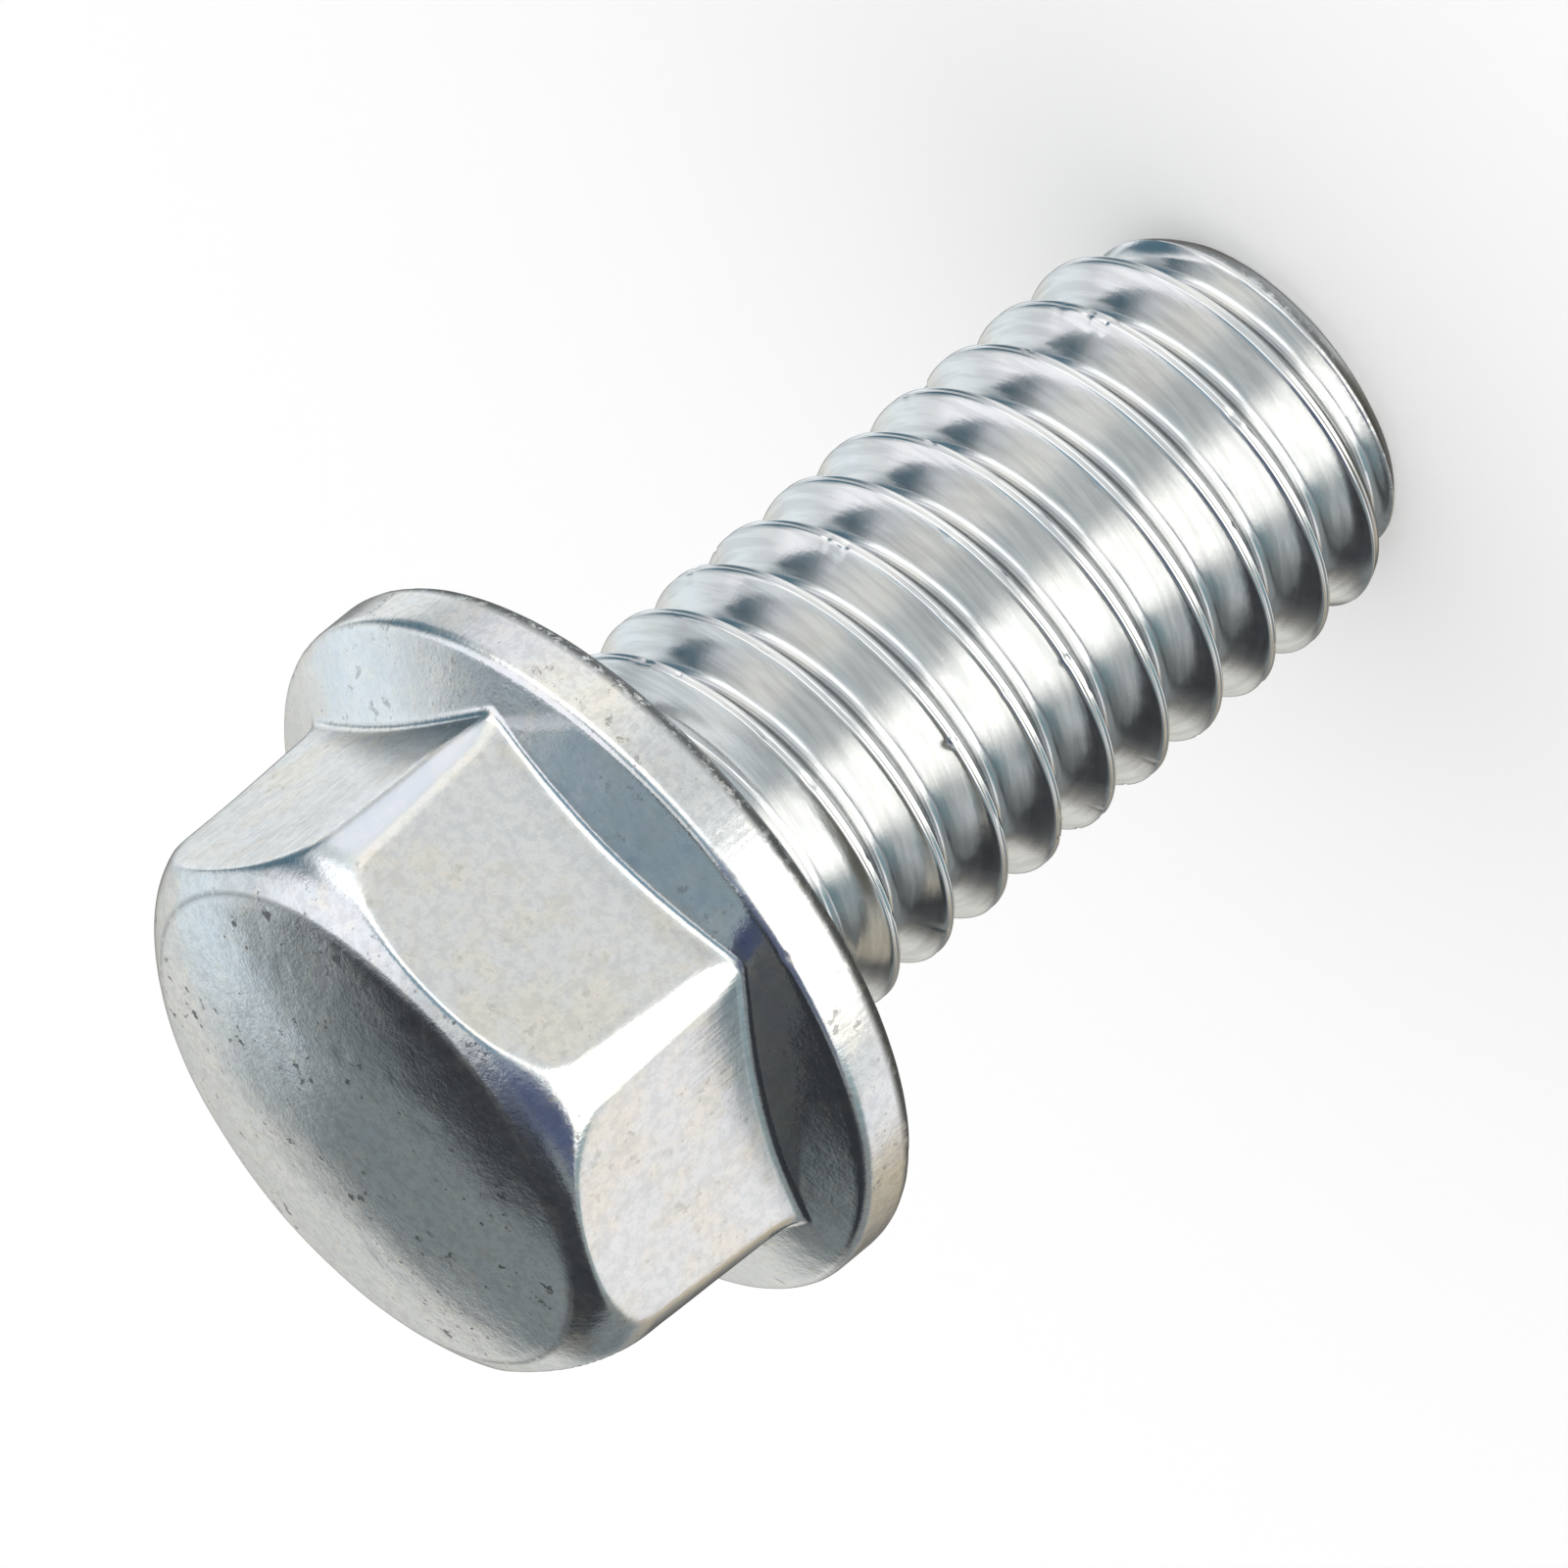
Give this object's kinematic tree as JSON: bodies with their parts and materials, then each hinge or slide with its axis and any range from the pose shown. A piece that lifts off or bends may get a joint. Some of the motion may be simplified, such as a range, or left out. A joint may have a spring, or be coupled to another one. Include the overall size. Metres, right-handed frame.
{
  "type": "flange bolt",
  "caption": "Hexagon flange bolt with a domed head, a washer-like flange with a conical top and a full-length coarse thread, bright zinc plated.",
  "frame": {"origin": "centre of the flange's bearing face", "axes": "+Z along the bolt's axis, up through the head; +X through one corner of the hexagon"},
  "size_m": [0.0106, 0.0106, 0.0171],
  "materials": {
    "zinc_plate": "bright blue-white zinc plate on cold-forged steel, glossy and a little mottled"
  },
  "bodies": {
    "root": {"flange_bolt": "zinc_plate"}
  },
  "joints": []
}
